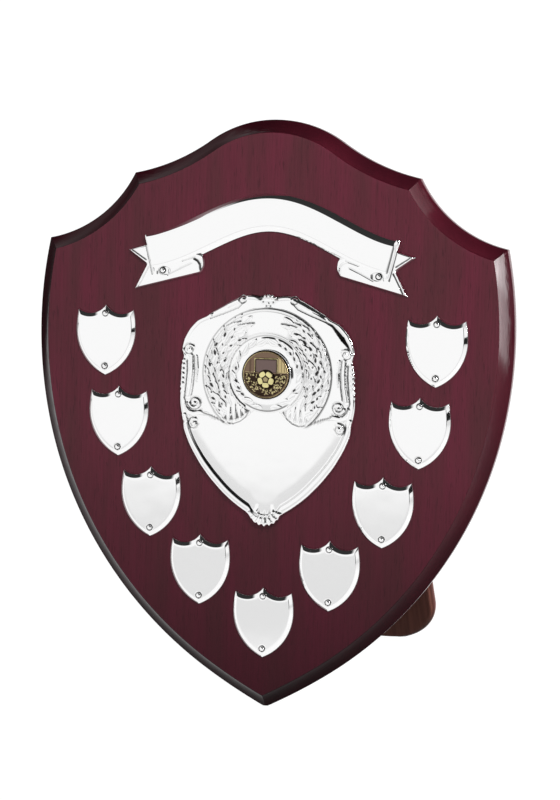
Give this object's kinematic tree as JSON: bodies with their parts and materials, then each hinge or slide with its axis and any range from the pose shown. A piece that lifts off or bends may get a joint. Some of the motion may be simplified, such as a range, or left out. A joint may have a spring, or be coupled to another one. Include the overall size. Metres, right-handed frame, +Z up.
{
  "type": "award shield plaque",
  "caption": "Standing shield award: bevelled dark red wooden shield with pressed silver scroll, wreathed centre with inset sports disc, and small record shields, propped by a rear strut.",
  "frame": {"origin": "on the shelf, under the middle of the outer box", "axes": "+Z up, the shield's face looks towards -Y and leans back, +X is the shield's right as the viewer sees it"},
  "size_m": [0.2558, 0.1458, 0.3073],
  "materials": {
    "board_lacquer": "dark red stained, vertical grain, clear gloss lacquer",
    "strut_wood": "dark brown stained, satin lacquer",
    "silver_plate": "pressed sheet, polished silver plate",
    "bronze_disc": "antique bronze, darkened in the hollows"
  },
  "bodies": {
    "root": {"board": "board_lacquer", "strut": "strut_wood", "scroll_banner": "silver_plate", "centre_shield": "silver_plate", "centre_disc": "bronze_disc", "record_shield_1": "silver_plate", "record_shield_2": "silver_plate", "record_shield_3": "silver_plate", "record_shield_4": "silver_plate", "record_shield_5": "silver_plate", "record_shield_6": "silver_plate", "record_shield_7": "silver_plate", "record_shield_8": "silver_plate", "record_shield_9": "silver_plate", "record_pin_1_upper": "silver_plate", "record_pin_1_lower": "silver_plate", "record_pin_2_upper": "silver_plate", "record_pin_2_lower": "silver_plate", "record_pin_3_upper": "silver_plate", "record_pin_3_lower": "silver_plate", "record_pin_4_upper": "silver_plate", "record_pin_4_lower": "silver_plate", "record_pin_5_upper": "silver_plate", "record_pin_5_lower": "silver_plate", "record_pin_6_upper": "silver_plate", "record_pin_6_lower": "silver_plate", "record_pin_7_upper": "silver_plate", "record_pin_7_lower": "silver_plate", "record_pin_8_upper": "silver_plate", "record_pin_8_lower": "silver_plate", "record_pin_9_upper": "silver_plate", "record_pin_9_lower": "silver_plate", "scroll_pin_left": "silver_plate", "scroll_pin_right": "silver_plate"}
  },
  "joints": []
}
